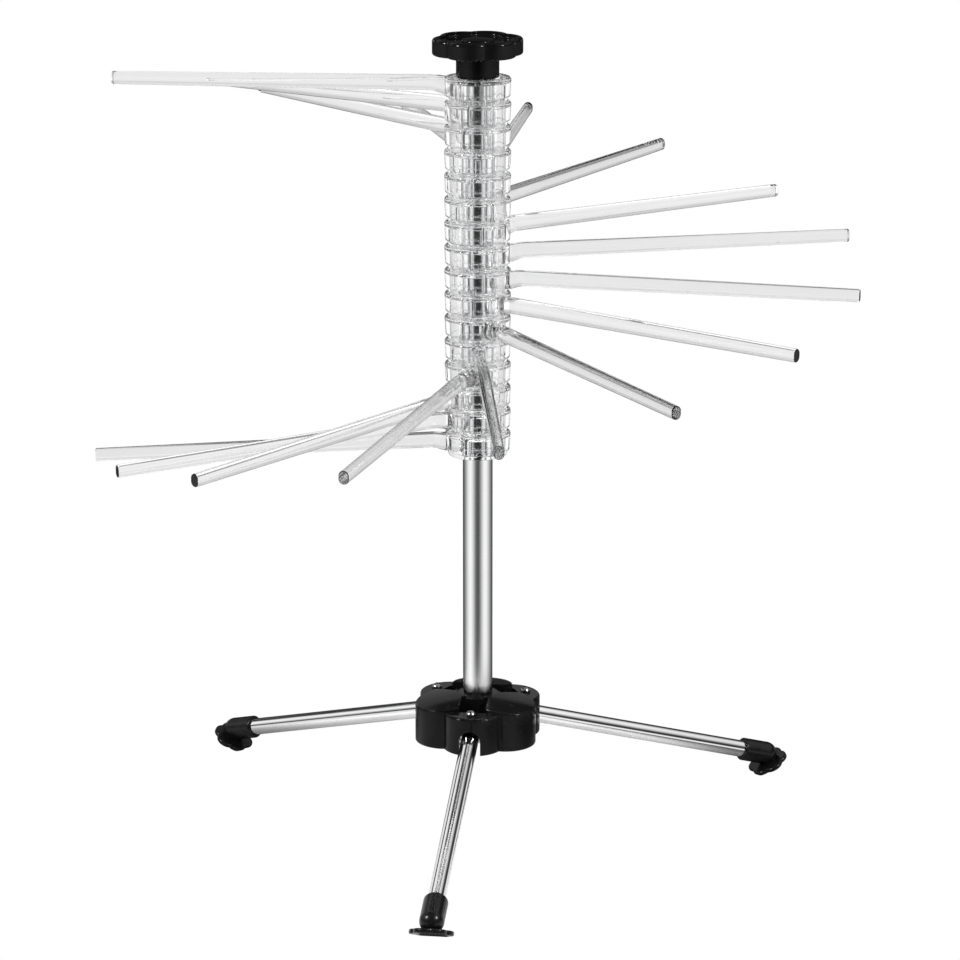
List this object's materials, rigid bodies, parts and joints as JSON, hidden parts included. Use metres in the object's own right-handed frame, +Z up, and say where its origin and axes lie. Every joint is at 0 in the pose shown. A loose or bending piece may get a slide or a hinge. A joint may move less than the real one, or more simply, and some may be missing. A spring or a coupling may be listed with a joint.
{
  "type": "pasta drying rack",
  "caption": "Tabletop drying rack: chromed pole on folding tripod legs, with a stack of clear rings whose long arms fan out in a spiral when the top knob is turned.",
  "frame": {"origin": "on the pole's axis, at the level of the surface that the feet stand on", "axes": "+Z up along the pole; +X to the right and +Y to the back as seen in the picture"},
  "size_m": [0.4271, 0.4299, 0.457],
  "materials": {
    "clear_plastic": "clear moulded, polished",
    "chrome": "bright chrome plate",
    "steel": "turned, zinc plated",
    "black_plastic": "glossy moulded",
    "rubber": "smooth moulded"
  },
  "bodies": {
    "base": {"base_hub": "black_plastic", "pole": "chrome", "pole_foot_plug": "steel", "pole_top_plug": "steel", "base_screw": "steel", "base_washer": "steel", "stack_pin": "steel", "arm_16": "clear_plastic", "knob_screw": "steel", "knob_washer": "steel", "leg_front_pin": "steel", "leg_right_pin": "steel", "leg_left_pin": "steel", "leg_clamp_screws": "chrome"},
    "leg_front": {"leg_front_tube": "chrome", "leg_front_knuckle": "steel", "foot_front": "rubber"},
    "leg_right": {"leg_right_tube": "chrome", "leg_right_knuckle": "steel", "foot_right": "rubber"},
    "leg_left": {"leg_left_tube": "chrome", "leg_left_knuckle": "steel", "foot_left": "rubber"},
    "ring_15": {"arm_15": "clear_plastic"},
    "ring_14": {"arm_14": "clear_plastic"},
    "ring_13": {"arm_13": "clear_plastic"},
    "ring_12": {"arm_12": "clear_plastic"},
    "ring_11": {"arm_11": "clear_plastic"},
    "ring_10": {"arm_10": "clear_plastic"},
    "ring_09": {"arm_09": "clear_plastic"},
    "ring_08": {"arm_08": "clear_plastic"},
    "ring_07": {"arm_07": "clear_plastic"},
    "ring_06": {"arm_06": "clear_plastic"},
    "ring_05": {"arm_05": "clear_plastic"},
    "ring_04": {"arm_04": "clear_plastic"},
    "ring_03": {"arm_03": "clear_plastic"},
    "ring_02": {"arm_02": "clear_plastic"},
    "ring_01": {"arm_01": "clear_plastic", "knob": "black_plastic", "knob_cap": "black_plastic"}
  },
  "joints": [
    {"name": "fan_15", "type": "hinge", "parent": "base", "child": "ring_15", "pos_m": [0, 0, 0.2329], "axis": [0, 0, 1], "range_deg": [-18.8, 8.2]},
    {"name": "fan_14", "type": "hinge", "parent": "ring_15", "child": "ring_14", "pos_m": [0, 0, 0.2464], "axis": [0, 0, 1], "range_deg": [-21.5, 5.5]},
    {"name": "fan_13", "type": "hinge", "parent": "ring_14", "child": "ring_13", "pos_m": [0, 0, 0.2599], "axis": [0, 0, 1], "range_deg": [-25, 2]},
    {"name": "fan_12", "type": "hinge", "parent": "ring_13", "child": "ring_12", "pos_m": [0, 0, 0.2734], "axis": [0, 0, 1], "range_deg": [-21.4, 5.6]},
    {"name": "fan_11", "type": "hinge", "parent": "ring_12", "child": "ring_11", "pos_m": [0, 0, 0.2869], "axis": [0, 0, 1], "range_deg": [-25.3, 1.7]},
    {"name": "fan_10", "type": "hinge", "parent": "ring_11", "child": "ring_10", "pos_m": [0, 0, 0.3004], "axis": [0, 0, 1], "range_deg": [-22.8, 4.2]},
    {"name": "fan_09", "type": "hinge", "parent": "ring_10", "child": "ring_09", "pos_m": [0, 0, 0.3139], "axis": [0, 0, 1], "range_deg": [-24, 3]},
    {"name": "fan_08", "type": "hinge", "parent": "ring_09", "child": "ring_08", "pos_m": [0, 0, 0.3274], "axis": [0, 0, 1], "range_deg": [-26.5, 0.5]},
    {"name": "fan_07", "type": "hinge", "parent": "ring_08", "child": "ring_07", "pos_m": [0, 0, 0.3409], "axis": [0, 0, 1], "range_deg": [-23.8, 3.2]},
    {"name": "fan_06", "type": "hinge", "parent": "ring_07", "child": "ring_06", "pos_m": [0, 0, 0.3544], "axis": [0, 0, 1], "range_deg": [-23.7, 3.3]},
    {"name": "fan_05", "type": "hinge", "parent": "ring_06", "child": "ring_05", "pos_m": [0, 0, 0.3679], "axis": [0, 0, 1], "range_deg": [-22.8, 4.2]},
    {"name": "fan_04", "type": "hinge", "parent": "ring_05", "child": "ring_04", "pos_m": [0, 0, 0.3814], "axis": [0, 0, 1], "range_deg": [-22.2, 4.8]},
    {"name": "fan_03", "type": "hinge", "parent": "ring_04", "child": "ring_03", "pos_m": [0, 0, 0.3949], "axis": [0, 0, 1], "range_deg": [-23, 4]},
    {"name": "fan_02", "type": "hinge", "parent": "ring_03", "child": "ring_02", "pos_m": [0, 0, 0.4084], "axis": [0, 0, 1], "range_deg": [-10, 17]},
    {"name": "fan_01", "type": "hinge", "parent": "ring_02", "child": "ring_01", "pos_m": [0, 0, 0.4219], "axis": [0, 0, 1], "range_deg": [-27, 0]},
    {"name": "fold_front", "type": "hinge", "parent": "base", "child": "leg_front", "pos_m": [-0.00368, -0.02796, 0.06], "axis": [0.9914, -0.1305, 0], "range_deg": [0, 73]},
    {"name": "fold_right", "type": "hinge", "parent": "base", "child": "leg_right", "pos_m": [0.02605, 0.01079, 0.06], "axis": [-0.3827, 0.9239, 0], "range_deg": [0, 73]},
    {"name": "fold_left", "type": "hinge", "parent": "base", "child": "leg_left", "pos_m": [-0.02237, 0.01717, 0.06], "axis": [-0.6088, -0.7934, 0], "range_deg": [0, 73]}
  ]
}
